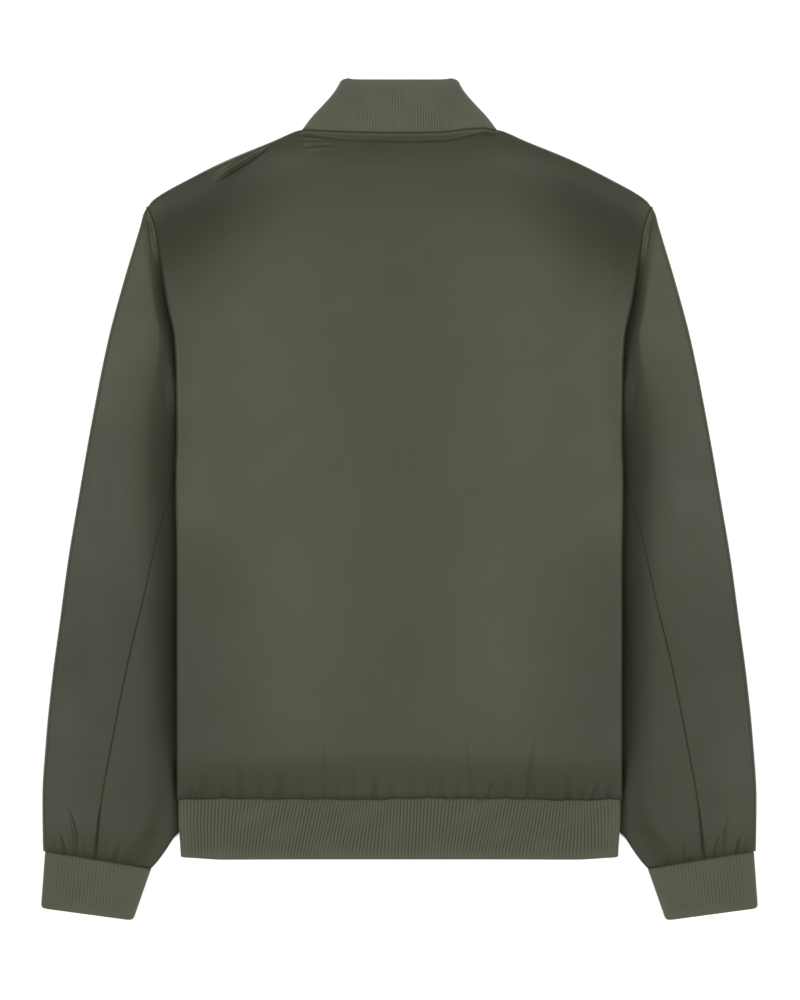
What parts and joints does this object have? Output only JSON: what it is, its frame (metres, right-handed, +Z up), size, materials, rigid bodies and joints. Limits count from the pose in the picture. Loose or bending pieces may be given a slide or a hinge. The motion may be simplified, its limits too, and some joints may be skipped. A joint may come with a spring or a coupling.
{
  "type": "bomber jacket",
  "caption": "Olive satin bomber jacket laid flat on its zipped front, with ribbed collar, cuffs and hem band.",
  "frame": {"origin": "on the surface the jacket lies on, under the middle of its overall box", "axes": "+X towards the wearer's right sleeve, +Y from the hem to the collar, +Z up from the surface, through the front and out of the back"},
  "size_m": [0.6816, 0.7992, 0.0161],
  "materials": {
    "satin_shell": "smooth olive satin with a soft sheen",
    "rib_knit": "matte olive rib knit",
    "zip_tape": "woven zip tape",
    "zip_metal": "dark nickel"
  },
  "bodies": {
    "jacket": {"back_panel": "satin_shell", "front_left": "satin_shell", "front_right": "satin_shell", "sleeve_left_top": "satin_shell", "sleeve_left_under": "satin_shell", "sleeve_right_top": "satin_shell", "sleeve_right_under": "satin_shell", "cuff_left": "rib_knit", "cuff_right": "rib_knit", "collar": "rib_knit", "hem_band": "rib_knit", "zip_tape_left": "zip_tape", "zip_tape_right": "zip_tape", "zip_chain": "zip_metal", "zip_slider": "zip_metal"},
    "pull": {"zip_pull": "zip_metal"}
  },
  "joints": [
    {"name": "pull_swing", "type": "hinge", "parent": "jacket", "child": "pull", "pos_m": [0, 0.321, 0.001], "axis": [1, 0, 0], "range_deg": [0, 180]}
  ]
}
